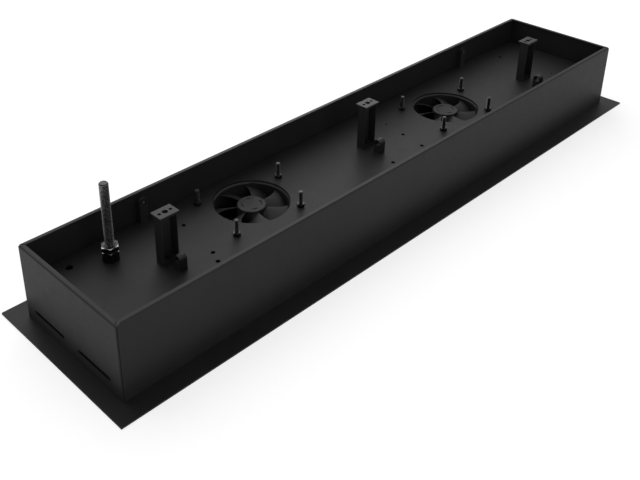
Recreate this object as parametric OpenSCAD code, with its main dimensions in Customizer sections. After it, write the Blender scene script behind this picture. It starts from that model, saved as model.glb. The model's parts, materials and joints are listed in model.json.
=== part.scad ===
// Recessed ceiling housing, standing on its trim flange with the open back up.
// X runs along the housing, Y across it and Z up. The origin is the bottom centre of the flange.

/* [Housing] */
// Outside length of the walls
body_l = 870; // [862:1:1000]
// Outside width of the walls
body_w = 166; // [162:1:200]
// Height of the rim above the underside of the flange
body_h = 90; // [86:1:130]
// Thickness of the wall sheet
wall_t = 1.5; // [1:0.1:2.5]
// Inside radius of the folds
fold_in_r = 0.6; // [0.5:0.1:3]
// Width of the return lip along the rim
lip_w = 5.5; // [4:0.1:8]
// Open gap at each corner of the lip
lip_gap = 1; // [0.5:0.1:2]
// Open seam between the two ends of the folded strip
seam_gap = 0.6; // [0.3:0.1:1.2]

/* [End slots] */
// Length of each slot
slot_l = 54; // [30:1:60]
// Height of each slot
slot_h = 4.6; // [4.2:0.1:8]
// Distance from the middle of the wall to the middle of a slot
slot_y = 39; // [34:1:42]
// Height of the middle of the slots
slot_z = 17; // [10:1:30]

/* [Trim flange] */
// Thickness of the flange plate
flange_t = 1.6; // [1.2:0.1:3]
// Overhang of the flange past each end wall
flange_end = 18; // [10:1:30]
// Overhang of the flange past each long wall
flange_side = 23; // [10:1:40]
// Radius of the corners of the flange plate
flange_r = 1; // [0.5:0.5:6]

/* [Mounting deck] */
// Height of the upper face of the deck
deck_z = 52; // [49:0.5:56]
// Thickness of the deck sheet
deck_t = 2; // [1.5:0.1:3]
// Height of the downturned skirts, with the deck
skirt_h = 14; // [8:1:20]
// Distance from the folds to the cut-away corners of the deck
relief_gap = 2; // [1:0.5:5]
// Diameter of the cable hole beside the rod
cable_hole_d = 8; // [5:0.5:12]
// Distance of the cable hole from the left end
cable_hole_inset = 41; // [30:1:55]
// Distance of the cable hole from the far wall
cable_hole_far_inset = 21; // [18:1:60]
// Diameter of the fixing holes in the deck
fixing_hole_d = 5; // [3:0.5:6]
// Diameter of the pilot holes in the deck
pilot_hole_d = 3; // [2:0.5:4]

/* [Fans] */
// Diameter of each fan opening in the deck
opening_d = 89; // [86:0.5:92]
// Inside diameter of the duct
duct_d = 85; // [82:0.5:85.5]
// Wall of the duct
duct_wall = 2.2; // [1.6:0.1:3]
// Width of the chamfer round the mouth of the duct
inlet_chamfer = 1.4; // [0.5:0.1:1.8]
// Depth of the fan frame
fan_depth = 25; // [23:0.5:28]
// Thickness of each ear
ear_t = 3.6; // [2.5:0.1:5]
// Radius of an ear round its screw hole
ear_r = 6.5; // [5.5:0.1:8]
// Gap between the blade tips and the duct
tip_gap = 1.2; // [0.8:0.1:2]
// Number of blades
blade_count = 7; // [5:1:9]
// Angle that a blade spans round the hub
blade_span_angle = 40; // [25:1:42]
// Angle by which a blade's tip leads its root
blade_sweep_angle = 9; // [0:1:15]
// Thickness of a blade in the middle
blade_t = 1.4; // [1:0.1:2]
// Height of a blade
blade_h = 14; // [10:0.5:15]
// Diameter of the hub cap
hub_d = 34; // [33:0.5:38]
// Depth of the hub cap
hub_h = 17; // [16:0.5:18]
// Wall of the hub cap
hub_wall = 1.5; // [1.2:0.1:1.8]
// Depth of the hub's face below the upper face of the deck
hub_drop = 3.5; // [2.5:0.1:5]
// Diameter of the rotor shaft
shaft_d = 3; // [2:0.1:3.5]
// Distance of the left fan from the left end
fan_left_inset = 256.5; // [253:0.5:261]
// Place of the left fan across the housing
fan_left_y = 24; // [16:0.5:26]
// Distance of the right fan from the right end
fan_right_inset = 265; // [261:0.5:269]
// Place of the right fan across the housing
fan_right_y = 12; // [6:0.5:20]

/* [Fan screws] */
// Diameter of the fan screws
screw_d = 5; // [4:0.1:5.5]
// Height of the screw tips above the deck
screw_tip_h = 19.5; // [8:0.5:24]
// Width across the flats of the fan nuts
fan_nut_af = 8; // [8:0.1:9]
// Height of the fan nuts
fan_nut_h = 4; // [3:0.1:5]

/* [Posts] */
// Height of each post above the deck
post_h = 60; // [40:1:70]
// Length of the drilled head
head_l = 24; // [24:0.5:28]
// Width of the drilled head
head_w = 16.5; // [16:0.5:20]
// Thickness of the drilled head
head_t = 2.5; // [2:0.1:4]
// Width of the channel column
column_w = 20.4; // [20.4:0.1:21.6]
// Depth of the channel column
column_d = 12.5; // [12:0.5:15]
// Wall of the channel column
column_wall = 1.2; // [1:0.1:1.2]
// Thickness of the foot inside the column
foot_t = 4; // [3:0.5:8]
// Diameter of the middle hole in the head
head_bore_d = 6.4; // [4:0.1:6.6]
// Diameter of the two outer holes in the head
head_hole_d = 3.8; // [2.5:0.1:3.8]
// Distance between the two outer holes
head_pitch = 14; // [12:0.5:14]
// Diameter of the screw under each post
post_screw_d = 4; // [3:0.5:5]
// Distance of the left post from the left end
post_left_inset = 120; // [115:1:125]
// Place of the middle post along the housing
post_middle_x = 11; // [0:1:20]
// Distance of the right post from the right end
post_right_inset = 110; // [105:1:115]
// Places of the posts across the housing, left to right
post_y = [1, 18, -12];

/* [Arches] */
// Width of an arch along the housing
arch_l = 9; // [6:0.5:12]
// Span of an arch across the housing
arch_span = 10.5; // [10:0.5:13]
// Height of an arch above the deck
arch_h = 18; // [17:0.5:22]
// Thickness of an arch round its eye
arch_t = 1.6; // [1.2:0.1:2.5]
// Height of the foot below the eye
arch_foot_h = 10; // [6:0.5:11]
// Distances of the arches from their posts across the housing
arch_dy = [19, 22, 28.5];
// Distances of the arches from their posts along the housing
arch_dx = [-1.5, 0, 9];

/* [Wall hoops] */
// Width of a hoop
hoop_w = 10.5; // [9:0.5:12]
// Gap between the top of a hoop and the lip above it
hoop_drop = 5.5; // [2:0.5:12]
// Depth of a hoop from the wall
hoop_depth = 7.8; // [6:0.1:8]
// Thickness of a hoop round its pocket
hoop_t = 1.6; // [1.2:0.1:2]
// Depth of the pocket round the pin
hoop_pocket = 2.5; // [1.5:0.5:4]
// Diameter of the pin inside a hoop
hoop_pin_d = 3.6; // [3:0.1:4.5]
// Distances of the hoops from the left and the right end
hoop_inset = [144.5, 140];

/* [Rod] */
// Diameter of the rod
rod_d = 10; // [8:0.1:12]
// Height of the end of the rod above the deck
rod_h = 91.5; // [60:0.5:110]
// Pitch of the rod's thread
rod_pitch = 1.5; // [1:0.25:2]
// Width across the flats of the nuts
nut_af = 17; // [15:0.5:19]
// Height of the lower nut
nut_lower_h = 12; // [6:0.5:14]
// Height of the upper nut
nut_upper_h = 6; // [4:0.5:10]
// Distance of the rod from the left end
rod_inset = 80; // [65:1:90]
// Distance of the rod from the far wall
rod_far_inset = 38.5; // [28:0.5:53]

/* [Hidden] */
$fn = 64;
coat = "#2c2c2d";
plastic = "#1c1c1d";
blackened = "#202124";
thread_gap = 0.05;
run_gap = 0.04;
screw_clearance = 0.4;
rod_clearance = 0.6;
cut = 1;

inner_l = body_l - 2 * wall_t;
inner_w = body_w - 2 * wall_t;
fold_r = fold_in_r + wall_t;
deck_under = deck_z - deck_t;
deck_fold = fold_in_r + deck_t;
relief = deck_fold + relief_gap;
end_x = body_l / 2;
fan_left_x = fan_left_inset - end_x;
fan_right_x = end_x - fan_right_inset;
post_x = [post_left_inset - end_x, post_middle_x, end_x - post_right_inset];
hoop_x = [hoop_inset[0] - end_x, end_x - hoop_inset[1]];
hoop_h = body_h - wall_t - hoop_drop - deck_z;
hoop_eye_z = hoop_h - hoop_w / 2;
arch_eye_r = arch_span / 2 - arch_t;
arch_eye_z = arch_h - arch_span / 2;
rod_x = rod_inset - end_x;
rod_y = body_w / 2 - rod_far_inset;
cable_hole = [cable_hole_inset - end_x, body_w / 2 - cable_hole_far_inset];
left_holes = [[171, 40], [162, -20], [156, -35]];
middle_holes = [[67, 3], [61, -32], [3, -33]];
right_hole = [68, 55];
middle_pilot = [73, 36];
right_pilot = [65, -31];
fixing_holes = concat([for (p = left_holes) [p.x - end_x, p.y]], middle_holes,
    [[end_x - right_hole.x, right_hole.y]]);
pilot_holes = [middle_pilot, [end_x - right_pilot.x, right_pilot.y]];

// Fan heights, counted up from the foot of the frame
fan_foot = deck_under - fan_depth;
duct_r = duct_d / 2;
hub_r = hub_d / 2;
hub_top = deck_z - hub_drop;
hub_foot = hub_top - hub_h;
tip_r = duct_r - tip_gap;
blade_inset = 1;
blade_top = hub_top - blade_inset;
cup_floor_t = 2.4;
cup_wall = 1.2;
cup_gap = 1;
cup_top = hub_foot - cup_gap;
bearing_d = 8;
bearing_h = 4;
tube_wall = 1.2;
tube_r = bearing_d / 2 + tube_wall;
boss_r = 3.2;
boss_h = 1.2;
boss_gap = 0.4;
tube_top = hub_top - hub_wall - boss_h - boss_gap;
rotor_gap = 0.6;
magnet_t = 1.8;
magnet_out = hub_r - hub_wall - thread_gap;
stator_r = magnet_out - magnet_t - rotor_gap;
board_t = 1;
board_gap = 0.3;
board_z = fan_foot + cup_floor_t + board_gap;
diagonals = [45:90:315];
strut_w = 4;
strut_t = 3.2;
hub_round = 1.4;
pocket_r = 11;
pocket_w = 1.2;
pocket_l = 3.2;
pocket_t = 0.5;
blade_phase = -54;
blade_bow_ratio = 0.4;
blade_edge_ratio = 0.4;
magnet_inset = 0.6;
magnet_h = hub_h - hub_wall - 2 * magnet_inset;
bearing_low = board_z;
core_w = 3;
core_drop = 3;
shoe_angle = 32;
shoe_gap = 0.6;
winding_over = 1;
winding_gap = 0.8;
winding_l = stator_r - tube_r - core_w - shoe_gap;
stator_z = board_z + board_t + winding_over + winding_gap;
stator_h = tube_top - stator_z - core_drop;

// Screw places round a fan, as the photograph shows them
ear_places = [[-48.6, 37], [57.2, 15.9], [32.4, -46.2], [-56.2, -38]];
ear_neck_ratio = 0.9;
ear_root_ratio = 1.3;
head_ratio = 1.9;
head_h_ratio = 0.66;
head_taper = 0.8;
screw_head_d = screw_d * head_ratio;
screw_head_h = screw_d * head_h_ratio;
screw_hole_d = screw_d + screw_clearance;
screw_wall = 2;
screw_l = fan_depth + deck_t + screw_tip_h;
screw_tip = 0.5;

post_head_h = 2.2;
column_r = 1;
head_r = 0.8;

nut_bevel = 0.1;
nut_slope_angle = 30;
lock_nut_h = 6;
sink_h = 1.8;
rod_bevel = 1;
rod_tail = 3;
rod_foot = deck_under - lock_nut_h - rod_tail;
pitch_line_ratio = 0.65;
rod_seat_d = rod_d - pitch_line_ratio * rod_pitch;
nut_bore_d = rod_seat_d + 2 * thread_gap;
rod_free_gap = 0.5;
rod_free_z = deck_z + nut_lower_h + nut_upper_h + rod_free_gap;
rod_free_l = deck_z + rod_h - rod_free_z;

module rounded_plate(l, w, r) {
    square([l - 2 * r, w], center = true);
    square([l, w - 2 * r], center = true);
    for (sx = [-1, 1], sy = [-1, 1])
        translate([sx * (l / 2 - r), sy * (w / 2 - r)]) circle(r);
}

module slot_outline(l, w) {
    square([l - w, w], center = true);
    for (s = [-1, 1]) translate([s * (l - w) / 2, 0]) circle(d = w);
}

// A hexagonal nut with both faces chamfered round
module nut_blank(af, h, bore_d) {
    corner_r = af / sqrt(3);
    face_r = af / 2;
    drop = (corner_r + nut_bevel - face_r) * tan(nut_slope_angle);
    difference() {
        intersection() {
            cylinder(r = corner_r, h = h, $fn = 6);
            rotate_extrude() polygon([[0, 0], [face_r, 0], [corner_r + nut_bevel, drop],
                [corner_r + nut_bevel, h - drop], [face_r, h], [0, h]]);
        }
        translate([0, 0, -cut]) cylinder(d = bore_d, h = h + 2 * cut);
    }
}

// A quarter of a ring between two folded walls
module fold_quarter(r_in, t) {
    intersection() {
        difference() {
            circle(r_in + t);
            circle(r_in);
        }
        square(r_in + t + cut);
    }
}

// A lug with a round top that reaches from the origin to -Y
module round_lug(span, height, depth) {
    r = span / 2;
    rotate([90, 0, 0]) linear_extrude(depth) {
        translate([0, height - r]) circle(r);
        translate([-r, 0]) square([span, height - r]);
    }
}

// Section of a wall: outer face at X = 0, folded inward along the rim
module wall_section() {
    square([wall_t, body_h - fold_r]);
    translate([fold_r, body_h - fold_r]) mirror([1, 0]) fold_quarter(fold_in_r, wall_t);
    translate([fold_r, body_h - wall_t]) square([lip_w - fold_r, wall_t]);
}

module long_wall(start) {
    translate([start, -body_w / 2, 0]) rotate([90, 0, 90])
        linear_extrude(body_l / 2 - fold_r - start) wall_section();
}

module end_wall(start) {
    translate([-body_l / 2, body_w / 2 - fold_r, 0]) rotate([90, 0, 0])
        linear_extrude(body_w / 2 - fold_r - start) wall_section();
}

module end_slots() {
    for (sx = [-1, 1], sy = [-1, 1])
        translate([sx * body_l / 2 - wall_t - cut, sy * slot_y, slot_z]) rotate([90, 0, 90])
            linear_extrude(2 * (wall_t + cut)) slot_outline(slot_l, slot_h);
}

// Diagonal cuts that part the return lips at the corners
module lip_cuts() {
    for (sx = [-1, 1], sy = [-1, 1])
        translate([sx * body_l / 2, sy * body_w / 2, body_h - fold_r]) rotate(sx * sy * 45)
            translate([-2 * lip_w, -lip_gap / 2, 0]) cube([4 * lip_w, lip_gap, fold_r + cut]);
}

// Four walls folded from one strip, whose ends meet at the near left corner
module wall_band() {
    color(coat) difference() {
        union() {
            long_wall(wall_t + seam_gap - body_l / 2);
            mirror([0, 1, 0]) long_wall(fold_r - body_l / 2);
            end_wall(-body_w / 2);
            mirror([1, 0, 0]) end_wall(fold_r - body_w / 2);
            for (corner = [[-1, 1], [1, 1], [1, -1]])
                scale([corner.x, corner.y, 1]) translate([body_l / 2 - fold_r, body_w / 2 - fold_r, 0])
                    linear_extrude(body_h - fold_r) fold_quarter(fold_in_r, wall_t);
        }
        end_slots();
        lip_cuts();
    }
}

// Plate round the foot of the walls, square where the strip's two ends meet
module trim_flange() {
    color(coat) linear_extrude(flange_t) difference() {
        rounded_plate(body_l + 2 * flange_end, body_w + 2 * flange_side, flange_r);
        rounded_plate(body_l, body_w, fold_r);
        translate([-body_l / 2, -body_w / 2]) square(fold_r);
    }
}

// Skirt of the deck along X, folded down from the plate's near edge
module deck_skirt(length, edge) {
    translate([-length / 2, -edge, deck_z]) rotate([90, 0, 90]) linear_extrude(length) {
        translate([deck_fold, -deck_fold]) mirror([1, 0]) fold_quarter(fold_in_r, deck_t);
        translate([0, -skirt_h]) square([deck_t, skirt_h - deck_fold]);
    }
}

module mounting_deck() {
    color(coat) difference() {
        union() {
            translate([0, 0, deck_under]) linear_extrude(deck_t) {
                square([inner_l - 2 * deck_fold, inner_w - 2 * relief], center = true);
                square([inner_l - 2 * relief, inner_w - 2 * deck_fold], center = true);
            }
            for (side = [0, 180]) {
                rotate(side) deck_skirt(inner_l - 2 * relief, inner_w / 2);
                rotate(side + 90) deck_skirt(inner_w - 2 * relief, inner_l / 2);
            }
        }
        translate([0, 0, deck_under - cut]) linear_extrude(deck_t + 2 * cut) deck_holes();
    }
}

module deck_holes() {
    for (fan = [[fan_left_x, fan_left_y], [fan_right_x, fan_right_y]]) translate(fan) {
        circle(d = opening_d, $fn = 96);
        for (place = ear_places) translate(place) circle(d = screw_hole_d);
    }
    for (i = [0:2]) translate([post_x[i], post_y[i]]) circle(d = post_screw_d + screw_clearance);
    for (place = fixing_holes) translate(place) circle(d = fixing_hole_d);
    for (place = pilot_holes) translate(place) circle(d = pilot_hole_d);
    translate(cable_hole) circle(d = cable_hole_d);
    translate([rod_x, rod_y]) circle(d = rod_d + rod_clearance);
}

// A lug against the far wall, its pin standing in a shallow pocket under the round top
module hoop(i) {
    color(coat) translate([hoop_x[i], inner_w / 2, deck_z]) difference() {
        round_lug(hoop_w, hoop_h, hoop_depth);
        translate([0, -hoop_depth - cut, hoop_eye_z]) rotate([-90, 0, 0])
            cylinder(r = hoop_w / 2 - hoop_t, h = hoop_pocket + cut);
        translate([0, cut, hoop_eye_z]) rotate([90, 0, 0])
            cylinder(d = hoop_pin_d + 2 * thread_gap, h = hoop_depth + 2 * cut);
    }
}

module hoop_pins() {
    color("silver") for (x = hoop_x)
        translate([x, inner_w / 2, deck_z + hoop_eye_z]) rotate([90, 0, 0])
            cylinder(d = hoop_pin_d, h = hoop_depth);
}

// One ear round a screw hole, widening towards the duct
module ear_outline(place) {
    reach = norm(place);
    root = ear_r * ear_root_ratio;
    neck = ear_r * ear_neck_ratio;
    translate(place) circle(ear_r);
    rotate(atan2(place.y, place.x)) polygon([[0, -root], [reach, -neck], [reach, neck], [0, root]]);
}

module motor_cup() {
    translate([0, 0, fan_foot]) difference() {
        union() {
            cylinder(r = hub_r, h = cup_floor_t);
            cylinder(r = tube_r, h = tube_top - fan_foot);
            difference() {
                cylinder(r = hub_r, h = cup_top - fan_foot);
                cylinder(r = hub_r - cup_wall, h = cup_top - fan_foot + cut);
            }
        }
        translate([0, 0, cup_floor_t]) cylinder(d = bearing_d + 2 * thread_gap, h = fan_depth);
    }
    for (angle = diagonals) rotate(angle)
        translate([hub_r - cup_wall / 2, -strut_w / 2, fan_foot])
            cube([duct_r - hub_r + duct_wall / 2 + cup_wall / 2, strut_w, strut_t]);
}

// Duct with four pairs of ears, the motor cup held in its foot by struts
module fan_frame() {
    color(plastic) {
        difference() {
            union() {
                translate([0, 0, fan_foot]) cylinder(r = duct_r + duct_wall, h = fan_depth, $fn = 96);
                for (z = [fan_foot, deck_under - ear_t], place = ear_places)
                    translate([0, 0, z]) linear_extrude(ear_t) ear_outline(place);
                for (place = ear_places)
                    translate([place.x, place.y, fan_foot])
                        cylinder(d = screw_hole_d + 2 * screw_wall, h = fan_depth);
            }
            translate([0, 0, fan_foot - cut]) cylinder(r = duct_r, h = fan_depth + 2 * cut, $fn = 96);
            translate([0, 0, deck_under - inlet_chamfer])
                cylinder(r1 = duct_r, r2 = duct_r + inlet_chamfer + cut, h = inlet_chamfer + cut, $fn = 96);
            for (place = ear_places) translate([place.x, place.y, fan_foot - cut])
                cylinder(d = screw_hole_d, h = fan_depth + 2 * cut);
        }
        motor_cup();
    }
}

// Blade surface: u runs from hub to tip, v from the leading edge to the trailing edge
function blade_radius(u) = hub_r - hub_wall / 2 + u * (tip_r - hub_r + hub_wall / 2);
function blade_drop(v) = (1 - blade_bow_ratio) * v + blade_bow_ratio * v * v;
function blade_slope(v) = 1 - blade_bow_ratio + 2 * blade_bow_ratio * v;
function blade_half(v) = blade_t / 2 * (blade_edge_ratio + (1 - blade_edge_ratio) * sin(180 * v));
function blade_point(u, v, side) =
    let (
        r = blade_radius(u),
        run = -r * blade_span_angle * PI / 180,
        fall = -blade_h * blade_slope(v),
        len = norm([run, fall]),
        shift = side * blade_half(v),
        angle = blade_sweep_angle * u * u - blade_span_angle * v + shift * fall / len / r * 180 / PI,
        z = blade_top - blade_t - (blade_h - blade_t) * blade_drop(v) - shift * run / len
    )
    [r * cos(angle), r * sin(angle), z];

// One blade, its two skins joined round the edge
module blade() {
    nu = 6;
    nv = 7;
    row = nv + 1;
    skin = (nu + 1) * row;
    function at(i, j, side) = side * skin + i * row + j;
    points = [for (side = [0, 1], i = [0:nu], j = [0:nv]) blade_point(i / nu, j / nv, 2 * side - 1)];
    lower = [for (i = [0:nu - 1], j = [0:nv - 1]) each [
        [at(i, j, 0), at(i + 1, j + 1, 0), at(i + 1, j, 0)],
        [at(i, j, 0), at(i, j + 1, 0), at(i + 1, j + 1, 0)]]];
    upper = [for (i = [0:nu - 1], j = [0:nv - 1]) each [
        [at(i, j, 1), at(i + 1, j, 1), at(i + 1, j + 1, 1)],
        [at(i, j, 1), at(i + 1, j + 1, 1), at(i, j + 1, 1)]]];
    along = [for (i = [0:nu - 1]) each [
        [at(i, 0, 0), at(i + 1, 0, 0), at(i + 1, 0, 1)], [at(i, 0, 0), at(i + 1, 0, 1), at(i, 0, 1)],
        [at(i, nv, 0), at(i + 1, nv, 1), at(i + 1, nv, 0)],
        [at(i, nv, 0), at(i, nv, 1), at(i + 1, nv, 1)]]];
    across = [for (j = [0:nv - 1]) each [
        [at(0, j, 0), at(0, j + 1, 1), at(0, j + 1, 0)], [at(0, j, 0), at(0, j, 1), at(0, j + 1, 1)],
        [at(nu, j, 0), at(nu, j + 1, 0), at(nu, j + 1, 1)],
        [at(nu, j, 0), at(nu, j + 1, 1), at(nu, j, 1)]]];
    polyhedron(points, concat(lower, upper, along, across));
}

// Hub cap with a rounded rim, open below, with a boss for the shaft
module hub_cap() {
    difference() {
        union() {
            translate([0, 0, hub_foot]) cylinder(r = hub_r, h = hub_h - hub_round);
            translate([0, 0, hub_top - hub_round]) rotate_extrude() intersection() {
                union() {
                    square([hub_r - hub_round, hub_round]);
                    translate([hub_r - hub_round, 0]) circle(hub_round);
                }
                square([hub_r, hub_round]);
            }
        }
        translate([0, 0, hub_foot - cut]) cylinder(r = hub_r - hub_wall, h = hub_h - hub_wall + cut);
        for (angle = diagonals) rotate(angle)
            translate([pocket_r, -pocket_l / 2, hub_top - pocket_t])
                cube([pocket_w, pocket_l, pocket_t + cut]);
    }
    translate([0, 0, hub_top - hub_wall - boss_h]) difference() {
        cylinder(r = boss_r, h = boss_h + cut / 2);
        translate([0, 0, -cut]) cylinder(d = shaft_d + 2 * thread_gap, h = cut + boss_h);
    }
}

module impeller() {
    color(plastic) {
        hub_cap();
        for (i = [0:blade_count - 1]) rotate(blade_phase + i * 360 / blade_count) blade();
    }
}

module rotor_ring() {
    color("dimgray") translate([0, 0, hub_foot + magnet_inset]) difference() {
        cylinder(r = magnet_out, h = magnet_h);
        translate([0, 0, -cut]) cylinder(r = magnet_out - magnet_t, h = magnet_h + 2 * cut);
    }
}

module rotor_shaft() {
    color("silver") translate([0, 0, bearing_low])
        cylinder(d = shaft_d, h = hub_top - hub_wall - bearing_low);
}

module fan_bearings() {
    color("gray") for (z = [bearing_low, tube_top - bearing_h]) translate([0, 0, z]) difference() {
        cylinder(d = bearing_d, h = bearing_h);
        translate([0, 0, -cut]) cylinder(d = shaft_d + 2 * run_gap, h = bearing_h + 2 * cut);
    }
}

// Four-pole core on the bearing tube, with a winding round each pole
module stator() {
    far = stator_r + cut;
    color("peru") translate([0, 0, stator_z]) {
        linear_extrude(stator_h) difference() {
            union() {
                circle(tube_r + core_w);
                for (angle = [0:90:270]) rotate(angle) {
                    translate([tube_r, -core_w / 2]) square([stator_r - tube_r - core_w / 2, core_w]);
                    intersection() {
                        difference() {
                            circle(stator_r);
                            circle(stator_r - core_w / 2);
                        }
                        polygon([[0, 0], [far, far * tan(shoe_angle)], [far, -far * tan(shoe_angle)]]);
                    }
                }
            }
            circle(tube_r + thread_gap);
        }
        for (angle = [0:90:270]) rotate(angle)
            translate([tube_r + core_w / 2, -core_w, -winding_over])
                cube([winding_l, 2 * core_w, stator_h + 2 * winding_over]);
    }
}

module circuit_board() {
    color("darkgreen") translate([0, 0, board_z]) difference() {
        cylinder(r = hub_r - cup_wall - board_gap, h = board_t);
        translate([0, 0, -cut]) cylinder(r = tube_r + board_gap, h = board_t + 2 * cut);
    }
}

module fan_screws() {
    color(blackened) for (place = ear_places) translate([place.x, place.y, fan_foot - screw_head_h]) {
        cylinder(d1 = screw_head_d * head_taper, d2 = screw_head_d, h = screw_head_h / 2);
        translate([0, 0, screw_head_h / 2]) cylinder(d = screw_head_d, h = screw_head_h / 2);
        cylinder(d = screw_d, h = screw_head_h + screw_l - screw_tip);
        translate([0, 0, screw_head_h + screw_l - screw_tip])
            cylinder(d1 = screw_d, d2 = screw_d - 2 * screw_tip, h = screw_tip);
    }
}

module fan_nuts() {
    color(blackened) for (place = ear_places) translate([place.x, place.y, deck_z])
        nut_blank(fan_nut_af, fan_nut_h, screw_d + 2 * thread_gap);
}

module at_left_fan() {
    translate([fan_left_x, fan_left_y, 0]) children();
}

module at_right_fan() {
    translate([fan_right_x, fan_right_y, 0]) children();
}

// Channel column open towards -Y, with a foot inside it and a drilled head
module post(i) {
    color(coat) translate([post_x[i], post_y[i], deck_z]) difference() {
        union() {
            linear_extrude(post_h - head_t / 2) difference() {
                rounded_plate(column_w, column_d, column_r);
                translate([0, -column_wall])
                    rounded_plate(column_w - 2 * column_wall, column_d, column_r);
                translate([column_wall - column_w / 2, -column_d])
                    square([column_w - 2 * column_wall, column_d]);
            }
            linear_extrude(foot_t) translate([0, column_wall / 4])
                square([column_w - column_wall, column_d - 1.5 * column_wall], center = true);
            translate([0, 0, post_h - head_t]) linear_extrude(head_t) rounded_plate(head_l, head_w, head_r);
        }
        translate([0, 0, -cut]) cylinder(d = post_screw_d + 2 * thread_gap, h = foot_t + 2 * cut);
        translate([0, 0, post_h - head_t - cut]) cylinder(d = head_bore_d, h = head_t + 2 * cut);
        for (s = [-1, 1]) translate([s * head_pitch / 2, 0, post_h - head_t - cut])
            cylinder(d = head_hole_d, h = head_t + 2 * cut);
    }
}

// One screw from below the deck into the foot of each post
module post_screws() {
    color(blackened) for (i = [0:2]) translate([post_x[i], post_y[i], deck_under - post_head_h]) {
        cylinder(d = post_screw_d * head_ratio, h = post_head_h);
        cylinder(d = post_screw_d, h = post_head_h + deck_t + foot_t);
    }
}

// A lug on the deck with an arched eye along the housing
module arch(i) {
    color(coat) translate([post_x[i] - arch_dx[i] - arch_l / 2, post_y[i] - arch_dy[i], deck_z]) rotate(90)
        difference() {
            round_lug(arch_span, arch_h, arch_l);
            translate([0, cut, 0]) rotate([90, 0, 0]) linear_extrude(arch_l + 2 * cut) {
                translate([0, arch_eye_z]) circle(arch_eye_r);
                translate([-arch_eye_r, arch_foot_h]) square([2 * arch_eye_r, arch_eye_z - arch_foot_h]);
            }
        }
}

// The free end has the full diameter. Inside the nuts the two threads meet at the pitch diameter.
module threaded_rod() {
    color(blackened) translate([rod_x, rod_y, rod_foot]) {
        cylinder(d1 = rod_seat_d - 2 * rod_bevel, d2 = rod_seat_d, h = rod_bevel);
        translate([0, 0, rod_bevel]) cylinder(d = rod_seat_d, h = rod_free_z - rod_foot - rod_bevel);
    }
    color(blackened) translate([rod_x, rod_y, rod_free_z]) {
        cylinder(d = rod_d, h = rod_free_l - rod_bevel);
        translate([0, 0, rod_free_l - rod_bevel])
            cylinder(d1 = rod_d, d2 = rod_d - 2 * rod_bevel, h = rod_bevel);
    }
}

module rod_nut_lower() {
    color(blackened) translate([rod_x, rod_y, deck_z]) nut_blank(nut_af, nut_lower_h, nut_bore_d);
}

// The upper nut has a wide countersink round the rod
module rod_nut_upper() {
    color(blackened) translate([rod_x, rod_y, deck_z + nut_lower_h]) difference() {
        nut_blank(nut_af, nut_upper_h, nut_bore_d);
        translate([0, 0, nut_upper_h - sink_h])
            cylinder(d1 = rod_d, d2 = rod_d + 2 * (sink_h + cut), h = sink_h + cut);
    }
}

module rod_lock_nut() {
    color(blackened) translate([rod_x, rod_y, deck_under - lock_nut_h])
        nut_blank(nut_af, lock_nut_h, nut_bore_d);
}

wall_band();
trim_flange();
mounting_deck();
hoop(0);  // hoop_left
hoop(1);  // hoop_right
hoop_pins();
at_left_fan() fan_frame();  // fan_frame_left
at_right_fan() fan_frame();  // fan_frame_right
at_left_fan() impeller();  // impeller_left
at_right_fan() impeller();  // impeller_right
at_left_fan() rotor_ring();  // rotor_ring_left
at_right_fan() rotor_ring();  // rotor_ring_right
at_left_fan() rotor_shaft();  // rotor_shaft_left
at_right_fan() rotor_shaft();  // rotor_shaft_right
at_left_fan() fan_bearings();  // fan_bearings_left
at_right_fan() fan_bearings();  // fan_bearings_right
at_left_fan() stator();  // stator_left
at_right_fan() stator();  // stator_right
at_left_fan() circuit_board();  // circuit_board_left
at_right_fan() circuit_board();  // circuit_board_right
at_left_fan() fan_screws();  // fan_screws_left
at_right_fan() fan_screws();  // fan_screws_right
at_left_fan() fan_nuts();  // fan_nuts_left
at_right_fan() fan_nuts();  // fan_nuts_right
post(0);  // post_left
post(1);  // post_middle
post(2);  // post_right
post_screws();
arch(0);  // arch_left
arch(1);  // arch_middle
arch(2);  // arch_right
threaded_rod();
rod_nut_lower();
rod_nut_upper();
rod_lock_nut();
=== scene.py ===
import json
import math

import bmesh
import bpy
from mathutils import Matrix, Vector


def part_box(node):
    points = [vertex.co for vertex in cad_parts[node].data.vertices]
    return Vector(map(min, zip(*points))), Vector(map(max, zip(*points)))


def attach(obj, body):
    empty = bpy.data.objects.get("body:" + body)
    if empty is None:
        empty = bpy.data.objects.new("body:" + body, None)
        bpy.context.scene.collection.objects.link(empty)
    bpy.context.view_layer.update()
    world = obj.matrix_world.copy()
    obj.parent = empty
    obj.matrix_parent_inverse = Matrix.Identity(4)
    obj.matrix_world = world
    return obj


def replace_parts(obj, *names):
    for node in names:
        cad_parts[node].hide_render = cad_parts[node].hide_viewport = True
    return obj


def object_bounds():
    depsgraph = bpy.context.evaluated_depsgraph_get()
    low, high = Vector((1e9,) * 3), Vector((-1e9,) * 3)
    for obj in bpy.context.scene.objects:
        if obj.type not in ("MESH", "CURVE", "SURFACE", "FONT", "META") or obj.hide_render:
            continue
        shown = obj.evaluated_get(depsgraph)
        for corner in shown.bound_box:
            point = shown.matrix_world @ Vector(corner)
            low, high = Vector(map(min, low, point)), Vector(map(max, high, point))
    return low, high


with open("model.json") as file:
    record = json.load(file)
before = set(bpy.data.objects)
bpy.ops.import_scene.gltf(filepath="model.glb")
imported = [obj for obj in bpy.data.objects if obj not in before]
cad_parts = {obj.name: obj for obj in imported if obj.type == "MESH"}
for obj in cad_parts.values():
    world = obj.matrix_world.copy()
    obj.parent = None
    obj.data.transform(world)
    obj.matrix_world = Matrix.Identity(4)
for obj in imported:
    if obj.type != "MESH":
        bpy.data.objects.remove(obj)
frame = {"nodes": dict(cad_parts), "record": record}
cadBox = [list(corner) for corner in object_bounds()]
mm = 0.001
print("frame loaded:", len(frame["nodes"]), "pieces")


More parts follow.
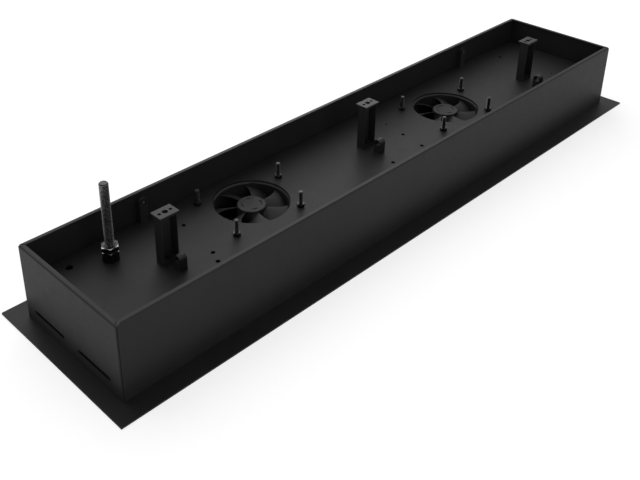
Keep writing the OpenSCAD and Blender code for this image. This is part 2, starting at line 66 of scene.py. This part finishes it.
def linkedObject(name, data):
    made = bpy.data.objects.new(name, data)
    bpy.context.scene.collection.objects.link(made)
    return made


def meshFrom(bm, name):
    mesh = bpy.data.meshes.new(name)
    bm.to_mesh(mesh)
    bm.free()
    return mesh


# The view from above the near left corner, in degrees, metres and pixels of the frame
view = {
    "azimuth": -43.64,
    "elevation": 26.47,
    "roll": -0.2741,
    "distance": 1.3572,
    "target": (0.0912, 0.2706, 0.0),
    "focalPixels": 889.1,
    "centrePixel": (273.1, 98.43),
    "frame": (640, 480),
    "sensorWidth": 36,
    "farthest": 50,
}


def placeCamera(view):
    azimuth, elevation, roll = (math.radians(view[key]) for key in ("azimuth", "elevation", "roll"))
    back = Vector((math.sin(azimuth) * math.cos(elevation),
                   -math.cos(azimuth) * math.cos(elevation),
                   math.sin(elevation)))
    level = Vector((0, 0, 1)).cross(back).normalized()
    upright = back.cross(level)
    right = level * math.cos(roll) + upright * math.sin(roll)
    up = upright * math.cos(roll) - level * math.sin(roll)
    camera = linkedObject("photoCamera", bpy.data.cameras.new("photoCamera"))
    place = Vector(view["target"]) + back * view["distance"]
    turned = Matrix((right, up, back)).transposed().to_4x4()
    camera.matrix_world = Matrix.Translation(place) @ turned
    width, height = view["frame"]
    camera.data.sensor_width = view["sensorWidth"]
    camera.data.lens = view["focalPixels"] / width * view["sensorWidth"]
    camera.data.shift_x = (width / 2 - view["centrePixel"][0]) / width
    camera.data.shift_y = (view["centrePixel"][1] - height / 2) / width
    camera.data.clip_end = view["farthest"]
    bpy.context.scene.camera = camera


placeCamera(view)
bpy.context.scene.view_settings.view_transform = "Standard"
print("camera placed")


def linearColour(code):  # sRGB hex to the linear values that shaders take
    parts = [int(code[i:i + 2], 16) / 255 for i in (1, 3, 5)]
    linear = [p / 12.92 if p <= 0.04045 else ((p + 0.055) / 1.055) ** 2.4 for p in parts]
    return (*linear, 1.0)


def addNode(tree, kind, settings=None, links=None):
    node = tree.nodes.new(kind)
    for key, value in (settings or {}).items():
        if isinstance(key, int) or key in node.inputs:
            node.inputs[key].default_value = value
        else:
            setattr(node, key, value)
    for key, source in (links or {}).items():
        tree.links.new(source, node.inputs[key])
    return node


def newMaterial(name):
    material = bpy.data.materials.new(name)
    material.use_nodes = True
    tree = material.node_tree
    tree.nodes.clear()
    return material, tree


# Floor and light: two soft panels high behind the housing, a low one behind its right end that
# catches the rim and the drilled heads, one in front for the near wall, and a pale world
studio = {
    "floorSize": 9.0,
    "floorPlace": (0.1, 0.1, -0.0002),
    "floorColour": "#e9e9e9",
    "floorGlow": 0.4,         # share of the paper's own white where it is seen, over its lit surface
    "glowStrength": 1.6,      # lifts that share so that the open floor ends up white
    "paintedShadeColour": "#1a1a1a",  # painted shade: a dark colour on the ground that the housing covers, without a glow
    "worldColour": "#ffffff",
    "worldLight": 0.38,
    "panels": [
        {"name": "farPanel", "place": (0.45, 0.95, 1.5), "aim": (0.0, 0.0, 0.0),
         "size": 1.6, "watts": 12.0},
        {"name": "backPanel", "place": (-0.5, 1.2, 1.4), "aim": (0.0, 0.0, 0.0),
         "size": 1.6, "watts": 8.0},
        {"name": "lowPanel", "place": (1.45, 1.55, 0.52), "aim": (0.0, 0.0, 0.05),
         "size": 1.0, "watts": 10.0},
        {"name": "frontPanel", "place": (-0.6, -1.7, 0.6), "aim": (0.0, 0.0, 0.0),
         "size": 1.5, "watts": 16.0},
    ],
}
pureWhite = (1, 1, 1, 1)


def larger(tree, first, second):
    return addNode(tree, "ShaderNodeMath", {"operation": "MAXIMUM"}, {0: first, 1: second}).outputs[0]


def seenDirectly(tree):  # 1 for camera, mirror and see-through rays, 0 for light that falls on things
    path = addNode(tree, "ShaderNodeLightPath").outputs
    first = larger(tree, path["Is Camera Ray"], path["Is Glossy Ray"])
    return larger(tree, first, path["Is Transmission Ray"])


def openFloor(tree, size):  # 0 on the ground that the housing covers, where the floor gets the painted shade colour and no glow, 1 outside it
    coordinates = addNode(tree, "ShaderNodeTexCoord").outputs["Object"]
    place = addNode(tree, "ShaderNodeSeparateXYZ", None, {0: coordinates})
    outside = []
    for axis, length in zip("XY", size):
        away = addNode(tree, "ShaderNodeMath", {"operation": "ABSOLUTE"}, {0: place.outputs[axis]})
        past = addNode(tree, "ShaderNodeMath", {"operation": "GREATER_THAN", 1: length / 2},
                       {0: away.outputs[0]})
        outside.append(past.outputs[0])
    return larger(tree, *outside)


def makeFloor(studio):
    bm = bmesh.new()
    bmesh.ops.create_grid(bm, x_segments=1, y_segments=1, size=studio["floorSize"] / 2)
    bmesh.ops.translate(bm, verts=bm.verts, vec=studio["floorPlace"])
    floor = linkedObject("studioFloor", meshFrom(bm, "studioFloor"))
    # Matt white paper sweep: the lamps shade it, and the rest of its white is its own; under the housing
    # it is painted dark as shade
    material, tree = newMaterial("paperSweep")
    bare = openFloor(tree, [cadBox[1][axis] - cadBox[0][axis] for axis in (0, 1)])
    # painted shade: the ground under the housing takes the dark colour instead of the paper's
    ground = addNode(tree, "ShaderNodeMix",
                     {"data_type": "RGBA",
                      6: linearColour(studio["paintedShadeColour"]), 7: linearColour(studio["floorColour"])},
                     {0: bare})
    paper = addNode(tree, "ShaderNodeBsdfDiffuse", None, {"Color": ground.outputs[2]})
    glow = addNode(tree, "ShaderNodeEmission",
                   {"Color": pureWhite, "Strength": studio["glowStrength"]})
    shown = addNode(tree, "ShaderNodeMath", {"operation": "MULTIPLY"},
                    {0: seenDirectly(tree), 1: bare})
    share = addNode(tree, "ShaderNodeMath", {"operation": "MULTIPLY", 1: studio["floorGlow"]},
                    {0: shown.outputs[0]})
    mixed = addNode(tree, "ShaderNodeMixShader", None,
                    {0: share.outputs[0], 1: paper.outputs[0], 2: glow.outputs[0]})
    addNode(tree, "ShaderNodeOutputMaterial", None, {"Surface": mixed.outputs[0]})
    floor.data.materials.append(material)


def lightStudio(studio):
    world = bpy.data.worlds.new("paleRoom")
    bpy.context.scene.world = world
    world.use_nodes = True
    tree = world.node_tree
    tree.nodes.clear()
    soft = addNode(tree, "ShaderNodeBackground",
                   {"Color": linearColour(studio["worldColour"]), "Strength": studio["worldLight"]})
    white = addNode(tree, "ShaderNodeBackground", {"Color": pureWhite, "Strength": 1.0})
    mixed = addNode(tree, "ShaderNodeMixShader", None,
                    {0: seenDirectly(tree), 1: soft.outputs[0], 2: white.outputs[0]})
    addNode(tree, "ShaderNodeOutputWorld", None, {"Surface": mixed.outputs[0]})
    for panel in studio["panels"]:
        lamp = bpy.data.lights.new(panel["name"], "AREA")
        lamp.shape, lamp.size, lamp.energy = "SQUARE", panel["size"], panel["watts"]
        holder = linkedObject(panel["name"], lamp)
        holder.location = panel["place"]
        holder.visible_camera = False
        towards = Vector(panel["aim"]) - Vector(panel["place"])
        holder.rotation_euler = towards.to_track_quat("-Z", "Y").to_euler()


makeFloor(studio)
lightStudio(studio)
print("studio ready")


# Polyester powder coat, sprayed on steel sheet and baked: matt black with a fine orange peel,
# so it stays dark face on and lifts to grey only where it mirrors the bright room at a low angle
powderCoat = {
    "name": "mattBlackPowderCoat",
    "colours": ("#141414", "#181818"), "patchMm": 55,
    "roughness": (0.49, 0.55), "specular": 0.165, "metallic": 0.0,
    "grainMm": 2.6, "grainDepthMm": 0.02,      # real peel is about 0.8 mm across, drawn coarser
    "speckMm": 9.0, "speckShare": 0.10,
}
# The same powder on the small brackets, drawn a shade lighter, smoother and finer grained than on the
# housing
bracketCoat = {
    "name": "smoothBlackPowderCoat",
    "colours": ("#181818", "#1d1d1d"), "patchMm": 9,
    "roughness": (0.46, 0.54), "specular": 0.22, "metallic": 0.0,
    "grainMm": 1.4, "grainDepthMm": 0.012,
    "speckMm": 3.0, "speckShare": 0.15,
}
# Glass-filled polyester, injection moulded: black with a satin skin and a faint flow mottle
fanPlastic = {
    "name": "mouldedFanPolyester",
    "colours": ("#141414", "#1a1a1a"), "patchMm": 18,
    "roughness": (0.44, 0.54), "specular": 0.2, "metallic": 0.0,
    "grainMm": 1.4, "grainDepthMm": 0.012,     # spark-eroded mould texture, drawn at twice its size
    "speckMm": 5.0, "speckShare": 0.06,
}
# Black-oxide steel screws, rod and nuts: dark metal, with a painted highlight in a light colour on the
# thread crests and the nuts' upper chamfers
blackSteel = {
    # the light colour of the painted highlight on crests and chamfers
    "name": "blackOxideSteel", "rubbed": "#cdcdcd",
    "colours": ("#2b2b2d", "#424243"), "patchMm": 3.5,
    "roughness": (0.22, 0.4), "specular": 0.5, "metallic": 1.0,
    "grainMm": 0.7, "grainDepthMm": 0.015,     # pickled grain of the oxide
    "speckMm": 1.6, "speckShare": 0.35,
}
# Ground bearing steel: bright, with a tight fine grain
groundSteel = {
    "name": "groundBearingSteel",
    "colours": ("#b9b9b7", "#cfcfcd"), "patchMm": 2.0,
    "roughness": (0.2, 0.3), "specular": 0.5, "metallic": 1.0,
    "grainMm": 0.3, "grainDepthMm": 0.004,
    "speckMm": 1.0, "speckShare": 0.2,
}
# Sintered ferrite: dull charcoal with a dry, slightly sandy surface
ferrite = {
    "name": "sinteredFerrite",
    "colours": ("#2a2a2b", "#383839"), "patchMm": 4.0,
    "roughness": (0.6, 0.75), "specular": 0.35, "metallic": 0.0,
    "grainMm": 0.5, "grainDepthMm": 0.02,
    "speckMm": 1.2, "speckShare": 0.3,
}
# Enamelled copper wire: warm red brown under a clear glossy enamel
copperWire = {
    "name": "enamelledCopper",
    "colours": ("#8c4a24", "#b4693a"), "patchMm": 1.2,
    "roughness": (0.25, 0.35), "specular": 0.5, "metallic": 1.0,
    "grainMm": 0.4, "grainDepthMm": 0.03,
    "speckMm": 0.8, "speckShare": 0.3,
}
# Glass-epoxy board under a smooth green solder mask
solderMask = {
    "name": "greenSolderMask",
    "colours": ("#12381f", "#184a2a"), "patchMm": 6.0,
    "roughness": (0.3, 0.4), "specular": 0.5, "metallic": 0.0,
    "grainMm": 0.6, "grainDepthMm": 0.006,
    "speckMm": 2.0, "speckShare": 0.2,
}
# How the noise patterns of every finish are drawn: patches and specks blend into the colour,
# the specks also set the polish, and the grain is the bump
pattern = {
    "patch": {"Detail": 4.0, "Roughness": 0.55},
    "speck": {"Detail": 6.0, "Roughness": 0.65},
    "grain": {"Detail": 3.0},
    "colourBand": (0.35, 0.65),
    "polishBand": (0.3, 0.7),
}


def noiseNode(tree, place, look, kind):
    settings = {"Scale": 1 / (look[kind + "Mm"] * mm), **pattern[kind]}
    return addNode(tree, "ShaderNodeTexNoise", settings, {"Vector": place}).outputs["Fac"]


def surfaceFinish(look):
    material, tree = newMaterial(look["name"])
    place = addNode(tree, "ShaderNodeTexCoord").outputs["Object"]
    patches, specks, grain = (noiseNode(tree, place, look, kind) for kind in ("patch", "speck", "grain"))
    blend = addNode(tree, "ShaderNodeMix", {"data_type": "FLOAT", 0: look["speckShare"]},
                    {2: patches, 3: specks})
    ramp = addNode(tree, "ShaderNodeValToRGB", None, {"Fac": blend.outputs[0]})
    for stop, position, code in zip(ramp.color_ramp.elements, pattern["colourBand"], look["colours"]):
        stop.position, stop.color = position, linearColour(code)
    colour = ramp.outputs["Color"]
    # painted highlight: faces marked in the attribute take the light colour
    if "rubbed" in look:
        wear = addNode(tree, "ShaderNodeAttribute", {"attribute_name": "rubbed"}).outputs["Fac"]
        bare = addNode(tree, "ShaderNodeMix", {"data_type": "RGBA", 7: linearColour(look["rubbed"])},
                       {6: colour, 0: wear})
        colour = bare.outputs[2]
    (low, high), (smooth, rough) = pattern["polishBand"], look["roughness"]
    polish = addNode(tree, "ShaderNodeMapRange",
                     {"From Min": low, "From Max": high, "To Min": smooth, "To Max": rough},
                     {"Value": specks})
    bump = addNode(tree, "ShaderNodeBump", {"Strength": 1.0, "Distance": look["grainDepthMm"] * mm},
                   {"Height": grain})
    shader = addNode(tree, "ShaderNodeBsdfPrincipled",
                     {"Metallic": look["metallic"], "Specular IOR Level": look["specular"]},
                     {"Base Color": colour, "Roughness": polish.outputs["Result"],
                      "Normal": bump.outputs["Normal"]})
    addNode(tree, "ShaderNodeOutputMaterial", None, {"Surface": shader.outputs[0]})
    return material


finishes = {
    "powder_coat": surfaceFinish(powderCoat),
    "bracket_coat": surfaceFinish(bracketCoat),
    "fan_plastic": surfaceFinish(fanPlastic),
    "black_steel": surfaceFinish(blackSteel),
    "bright_steel": surfaceFinish(groundSteel),
    "magnet": surfaceFinish(ferrite),
    "winding": surfaceFinish(copperWire),
    "board": surfaceFinish(solderMask),
}
slotOf = {part["node"]: part["material_slot"] for part in frame["record"]["subparts"]}
for name, node in frame["nodes"].items():
    node.data.materials.clear()
    node.data.materials.append(finishes[slotOf[name]])
print("materials ready")


# the optional face function gives each face its share of painted highlight, and finish overrides the
# slot's own material
def finishPiece(bm, name, slot, body, sharpDegrees=35, rubbed=None, finish=None):
    # each face's share of painted highlight, stored for the material
    if rubbed:
        wear = bm.faces.layers.float.new("rubbed")
        bm.normal_update()
        for face in bm.faces:
            face[wear] = rubbed(face)
    mesh = meshFrom(bm, name)
    for face in mesh.polygons:
        face.use_smooth = True
    mesh.set_sharp_from_angle(angle=math.radians(sharpDegrees))
    mesh.materials.append(finishes[finish or slot])
    piece = linkedObject(name, mesh)
    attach(piece, body)
    return piece


def bakedMesh(piece):  # the mesh that a helper object's modifiers make, after which the helper goes
    bpy.context.view_layer.update()
    seen = piece.evaluated_get(bpy.context.evaluated_depsgraph_get())
    mesh = bpy.data.meshes.new_from_object(seen)
    bpy.data.objects.remove(piece)
    return mesh


def carvedMesh(body, tool, name):  # the body with the tool's shape cut out of it, as a new bmesh
    solid = linkedObject(name, meshFrom(body, name))
    cutter = linkedObject(name + "Tool", meshFrom(tool, name + "Tool"))
    carve = solid.modifiers.new("carve", "BOOLEAN")
    carve.object, carve.operation, carve.solver, carve.use_self = cutter, "DIFFERENCE", "EXACT", True
    whole = bmesh.new()
    whole.from_mesh(bakedMesh(solid))
    bpy.data.objects.remove(cutter)
    return whole


def addCopy(bm, mesh, place):
    known = len(bm.verts)
    bm.from_mesh(mesh)
    bm.verts.ensure_lookup_table()
    bmesh.ops.translate(bm, verts=bm.verts[known:], vec=[value * mm for value in place])


def boxCentre(low, high):  # x, y and z in millimetres
    return [(a + b) / 2 / mm for a, b in zip(low, high)]


# Rolled threads: one turn's profile runs up its own helix, then is cut flat at both ends
rodThread = {"radius": 5.0, "pitch": 1.5, "depth": 0.82, "steps": 40, "chamfer": 0.9}
fanScrewThread = {"radius": 2.5, "pitch": 0.8, "depth": 0.44, "steps": 24, "chamfer": 0.45}
threadForm = {
    "rootEnd": 0.22, "crestStart": 0.52, "crestEnd": 0.7,  # heights as shares of the pitch
    "spareTurns": 2,                                       # at each end, for the flat cut
    "weldMm": 0.002, "endMm": 0.001,                       # what counts as one point, and as the end
}


def threadedBar(thread, foot, top):
    radius, pitch, depth = (thread[key] for key in ("radius", "pitch", "depth"))
    root, spare = radius - depth, threadForm["spareTurns"]
    outline = ((root, 0), (root, threadForm["rootEnd"]), (radius, threadForm["crestStart"]),
               (radius, threadForm["crestEnd"]), (root, 1))
    profile = bmesh.new()
    corners = [profile.verts.new((out * mm, 0, (foot + (share - spare) * pitch) * mm))
               for out, share in outline]
    for pair in zip(corners, corners[1:]):
        profile.edges.new(pair)
    helper = linkedObject("threadProfile", meshFrom(profile, "threadProfile"))
    helix = helper.modifiers.new("helix", "SCREW")
    helix.axis, helix.angle, helix.screw_offset = "Z", 2 * math.pi, pitch * mm
    helix.steps = helix.render_steps = thread["steps"]
    helix.iterations = math.ceil((top - foot) / pitch) + 2 * spare
    bar = bmesh.new()
    bar.from_mesh(bakedMesh(helper))
    bmesh.ops.remove_doubles(bar, verts=bar.verts, dist=threadForm["weldMm"] * mm)
    for height, direction in ((foot, -1), (top, 1)):
        bmesh.ops.bisect_plane(bar, geom=bar.verts[:] + bar.edges[:] + bar.faces[:],
                               plane_co=(0, 0, height * mm), plane_no=(0, 0, direction),
                               clear_outer=True)
        rim = [edge for edge in bar.edges if edge.is_boundary
               and all(abs(v.co.z - height * mm) < threadForm["endMm"] * mm for v in edge.verts)]
        bmesh.ops.contextual_create(bar, geom=rim)
    for corner in bar.verts:  # the chamfer at both ends
        out = math.hypot(corner.co.x, corner.co.y)
        fromEnd = min(top * mm - corner.co.z, corner.co.z - foot * mm)
        room = (radius - thread["chamfer"]) * mm + fromEnd
        if out > room:
            corner.co.x *= room / out
            corner.co.y *= room / out
    bmesh.ops.recalc_face_normals(bar, faces=bar.faces)
    return meshFrom(bar, "threadedBar")


# Painted highlight: a light band on the threads' crests, and on the nuts' upper chamfers, picked by the
# way their faces point
crestWear = {"bandMm": 0.12, "normalZ": 0.3, "rodShare": 1.0, "screwShare": 0.22}
chamferWear = {"normalZ": (0.5, 0.97), "share": 0.55}


def rubbedCrest(radius, places, wear):  # for threads that stand at these places
    def share(face):
        centre = face.calc_center_median()
        out = min(math.hypot(centre.x - x * mm, centre.y - y * mm) for x, y in places)
        outermost = out > (radius - crestWear["bandMm"]) * mm
        return wear if outermost and abs(face.normal.z) < crestWear["normalZ"] else 0.0
    return share


# painted highlight on the chamfer faces that slope upwards
def rubbedSlope(face):
    steepest, flattest = chamferWear["normalZ"]
    return chamferWear["share"] if steepest < face.normal.z < flattest else 0.0


rodLow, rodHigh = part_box("threaded_rod")
rodPlace = boxCentre(rodLow, rodHigh)[:2]
bm = bmesh.new()
addCopy(bm, threadedBar(rodThread, rodLow.z / mm, rodHigh.z / mm), (*rodPlace, 0))
rod = finishPiece(bm, "suspensionRod", "black_steel", "housing",
                  rubbed=rubbedCrest(rodThread["radius"], [rodPlace], crestWear["rodShare"]))
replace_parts(rod, "threaded_rod")
print("rod threaded")


# Pan-head screws with a cross recess: M5 up through the fan ears, M4 up into the posts
fanScrew = {
    "places": [(-48.6, 37.0), (57.2, 15.9), (32.4, -46.2), (-56.2, -38.0)],
    "headRadius": 4.75, "headHeight": 3.3, "recess": 4.6, "recessWidth": 1.2, "recessDepth": 1.7,
    "shankRadius": 2.5, "plainLength": 27.5, "threadOverlap": 0.5,
}
postScrew = {
    "headRadius": 3.8, "headHeight": 2.2, "recess": 3.8, "recessWidth": 1.0, "recessDepth": 1.2,
    "shankRadius": 2.0, "plainLength": 6.0,
}
panForm = {"taper": 0.96, "dome": 0.42, "domeSteps": 4, "headSides": 40, "shankSides": 32}


def panHead(screw):  # head below its seat at Z = 0, with the plain part of the shank above it
    head = bmesh.new()
    radius, height = screw["headRadius"] * mm, screw["headHeight"] * mm
    bmesh.ops.create_cone(head, cap_ends=True, segments=panForm["headSides"],
                          radius1=radius * panForm["taper"], radius2=radius, depth=height,
                          matrix=Matrix.Translation((0, 0, -height / 2)))
    under = [edge for edge in head.edges if all(v.co.z < -height / 2 for v in edge.verts)]
    bmesh.ops.bevel(head, geom=under, affect="EDGES", offset=height * panForm["dome"],
                    segments=panForm["domeSteps"], profile=0.5, material=-1)
    cross = bmesh.new()
    across = (screw["recess"] * mm, screw["recessWidth"] * mm, 2 * screw["recessDepth"] * mm, 1)
    for turn in (0, math.pi / 2):
        placed = Matrix.Rotation(turn, 4, "Z") @ Matrix.Translation((0, 0, -height))
        bmesh.ops.create_cube(cross, size=1.0, matrix=placed @ Matrix.Diagonal(across))
    whole = carvedMesh(head, cross, "head")
    length, shank = screw["plainLength"] * mm, screw["shankRadius"] * mm
    bmesh.ops.create_cone(whole, cap_ends=True, segments=panForm["shankSides"],
                          radius1=shank, radius2=shank, depth=length,
                          matrix=Matrix.Translation((0, 0, length / 2)))
    return meshFrom(whole, "panHead")


fanHead = panHead(fanScrew)
for side in ("left", "right"):
    node = "fan_screws_" + side
    low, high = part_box(node)
    ringLow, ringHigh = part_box("rotor_ring_" + side)
    fanX, fanY = boxCentre(ringLow, ringHigh)[:2]
    seat = low.z / mm + fanScrew["headHeight"]
    threadFoot = seat + fanScrew["plainLength"] - fanScrew["threadOverlap"]
    places = [(fanX + x, fanY + y) for x, y in fanScrew["places"]]
    thread = threadedBar(fanScrewThread, threadFoot, high.z / mm)
    bm = bmesh.new()
    for place in places:
        addCopy(bm, fanHead, (*place, seat))
        addCopy(bm, thread, (*place, 0))
    wear = rubbedCrest(fanScrewThread["radius"], places, crestWear["screwShare"])
    screws = finishPiece(bm, "fanScrews" + side.capitalize(), "black_steel", "housing", rubbed=wear)
    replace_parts(screws, node)

low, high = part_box("post_screws")
seat = low.z / mm + postScrew["headHeight"]
postHead = panHead(postScrew)
bm = bmesh.new()
for side in ("left", "middle", "right"):
    postLow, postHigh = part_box("post_" + side)
    addCopy(bm, postHead, (*boxCentre(postLow, postHigh)[:2], seat))
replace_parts(finishPiece(bm, "postScrews", "black_steel", "housing"), "post_screws")
print("screws ready")


# Shallow pockets in the hub's face, short arcs near its edge that show as small marks
hubPockets = {
    "radius": 11.2, "width": 1.7, "depth": 1.1,
    "arcDegrees": 27, "turns": (-20, 70, 160, 250), "steps": 8,
}


def cutPockets(bm, node, pockets):
    ringLow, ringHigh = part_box(node.replace("impeller", "rotor_ring"))
    hubX, hubY = boxCentre(ringLow, ringHigh)[:2]
    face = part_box(node)[1].z
    depth, halfWidth = pockets["depth"] * mm, pockets["width"] / 2
    inner, outer = (pockets["radius"] - halfWidth) * mm, (pockets["radius"] + halfWidth) * mm
    section = ((inner, -depth), (outer, -depth), (outer, depth), (inner, depth))
    halfArc = math.radians(pockets["arcDegrees"] / 2)
    arcs = bmesh.new()
    for turn in pockets["turns"]:
        known = len(arcs.verts)
        corners = [arcs.verts.new((out, 0, face + rise)) for out, rise in section]
        start = arcs.faces.new(corners)
        bmesh.ops.rotate(arcs, verts=corners, cent=(0, 0, 0),
                         matrix=Matrix.Rotation(math.radians(turn) - halfArc, 3, "Z"))
        bmesh.ops.spin(arcs, geom=[start], cent=(0, 0, 0), axis=(0, 0, 1),
                       angle=2 * halfArc, steps=pockets["steps"])
        arcs.verts.ensure_lookup_table()
        bmesh.ops.translate(arcs, verts=arcs.verts[known:], vec=(hubX * mm, hubY * mm, 0))
    bmesh.ops.recalc_face_normals(arcs, faces=arcs.faces)
    return carvedMesh(bm, arcs, "hub")


mergeForm = {"weldMm": 0.001, "flatDegrees": 0.3, "evenWeight": 90}


# A copy of a node with its loose triangles joined, so that curves shade smoothly and flats stay flat
def mergedCopy(node, body, sharpDegrees=35, finish=None, rubbed=None, pockets=None):
    bm = bmesh.new()
    bm.from_mesh(frame["nodes"][node].data)
    bmesh.ops.remove_doubles(bm, verts=bm.verts, dist=mergeForm["weldMm"] * mm)
    bmesh.ops.dissolve_limit(bm, angle_limit=math.radians(mergeForm["flatDegrees"]),
                             verts=bm.verts, edges=bm.edges, delimit={"NORMAL"})
    if pockets:
        bm = cutPockets(bm, node, pockets)
    first, *rest = node.split("_")
    name = first + "".join(word.capitalize() for word in rest)
    piece = finishPiece(bm, name, slotOf[node], body, sharpDegrees, rubbed, finish)
    even = piece.modifiers.new("evenShading", "WEIGHTED_NORMAL")
    even.keep_sharp, even.weight = True, mergeForm["evenWeight"]
    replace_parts(piece, node)


for side in ("left", "right"):
    mergedCopy("impeller_" + side, side + "_rotor", 40, pockets=hubPockets)
    mergedCopy("fan_frame_" + side, "housing")
    mergedCopy("fan_nuts_" + side, "housing", 25)
    mergedCopy("rotor_ring_" + side, side + "_rotor")
    mergedCopy("rotor_shaft_" + side, side + "_rotor")
mergedCopy("wall_band", "housing", 25)
mergedCopy("hoop_pins", "housing", 25)
for node in ("hoop_left", "hoop_right", "post_left", "post_middle", "post_right",
             "arch_left", "arch_middle", "arch_right"):
    mergedCopy(node, "housing", 25, finish="bracket_coat")
for node in ("rod_nut_lower", "rod_nut_upper", "rod_lock_nut"):
    mergedCopy(node, "housing", 25, rubbed=rubbedSlope)
print("curved pieces smoothed")

bpy.context.view_layer.update()
